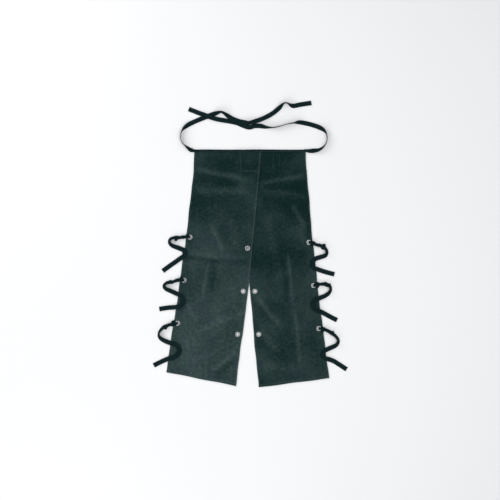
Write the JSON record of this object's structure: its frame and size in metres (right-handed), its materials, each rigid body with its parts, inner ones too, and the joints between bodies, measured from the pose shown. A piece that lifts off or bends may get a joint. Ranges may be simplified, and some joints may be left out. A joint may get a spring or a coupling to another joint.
{
  "type": "chainsaw chaps",
  "caption": "Apron-style chainsaw chaps: two overlapping padded leg panels with a bound waist edge, long waist tapes, eyelets and tape ties, laid flat.",
  "frame": {"origin": "on the surface it lies on, under the middle of the garment's outline, tapes and ties left out", "axes": "+Y towards the waist edge along the legs, +Z out of the front face, +X to the right of the front view"},
  "size_m": [0.7016, 1.0314, 0.0157],
  "materials": {
    "canvas": "dark green-black coated canvas, faint sheen",
    "lining": "dark smooth lining cloth",
    "padding": "off-white loose knitted cut-retardant fibre",
    "tape": "black woven tape",
    "thread": "dark polyester thread",
    "eyelet": "nickel-plated, lightly polished"
  },
  "bodies": {
    "waist": {"waistband": "tape", "box_stitch": "thread", "left_yoke_shell": "canvas", "left_yoke_lining": "lining", "left_waist_tape": "tape", "right_yoke_shell": "canvas", "right_yoke_lining": "lining", "right_waist_tape": "tape"},
    "thighs": {"left_upper_shell": "canvas", "left_upper_lining": "lining", "left_upper_back_pad": "padding", "left_upper_front_pad": "padding", "left_outer_eyelet_1": "eyelet", "left_outer_washer_1": "eyelet", "left_inner_eyelet_1": "eyelet", "left_inner_washer_1": "eyelet", "left_tie_1": "tape", "left_outer_eyelet_2": "eyelet", "left_outer_washer_2": "eyelet", "left_inner_eyelet_2": "eyelet", "left_inner_washer_2": "eyelet", "left_tie_2": "tape", "right_upper_shell": "canvas", "right_upper_lining": "lining", "right_upper_back_pad": "padding", "right_upper_front_pad": "padding", "right_outer_eyelet_1": "eyelet", "right_outer_washer_1": "eyelet", "right_inner_eyelet_1": "eyelet", "right_inner_washer_1": "eyelet", "right_tie_1": "tape", "right_outer_eyelet_2": "eyelet", "right_outer_washer_2": "eyelet", "right_inner_eyelet_2": "eyelet", "right_inner_washer_2": "eyelet", "right_tie_2": "tape"},
    "left_lower_leg": {"left_lower_shell": "canvas", "left_lower_lining": "lining", "left_lower_back_pad": "padding", "left_lower_front_pad": "padding", "left_outer_eyelet_3": "eyelet", "left_outer_washer_3": "eyelet", "left_inner_eyelet_3": "eyelet", "left_inner_washer_3": "eyelet", "left_tie_3": "tape"},
    "right_lower_leg": {"right_lower_shell": "canvas", "right_lower_lining": "lining", "right_lower_back_pad": "padding", "right_lower_front_pad": "padding", "right_outer_eyelet_3": "eyelet", "right_outer_washer_3": "eyelet", "right_inner_eyelet_3": "eyelet", "right_inner_washer_3": "eyelet", "right_tie_3": "tape"}
  },
  "joints": [
    {"name": "hip_fold", "type": "hinge", "parent": "waist", "child": "thighs", "pos_m": [0, 0.333, 0.0085], "axis": [-1, 0, 0], "range_deg": [0, 150]},
    {"name": "left_knee_fold", "type": "hinge", "parent": "thighs", "child": "left_lower_leg", "pos_m": [-0.15, -0.171, 0.0085], "axis": [-1, 0, 0], "range_deg": [0, 160]},
    {"name": "right_knee_fold", "type": "hinge", "parent": "thighs", "child": "right_lower_leg", "pos_m": [0.15, -0.171, 0.0085], "axis": [-1, 0, 0], "range_deg": [0, 160]}
  ]
}
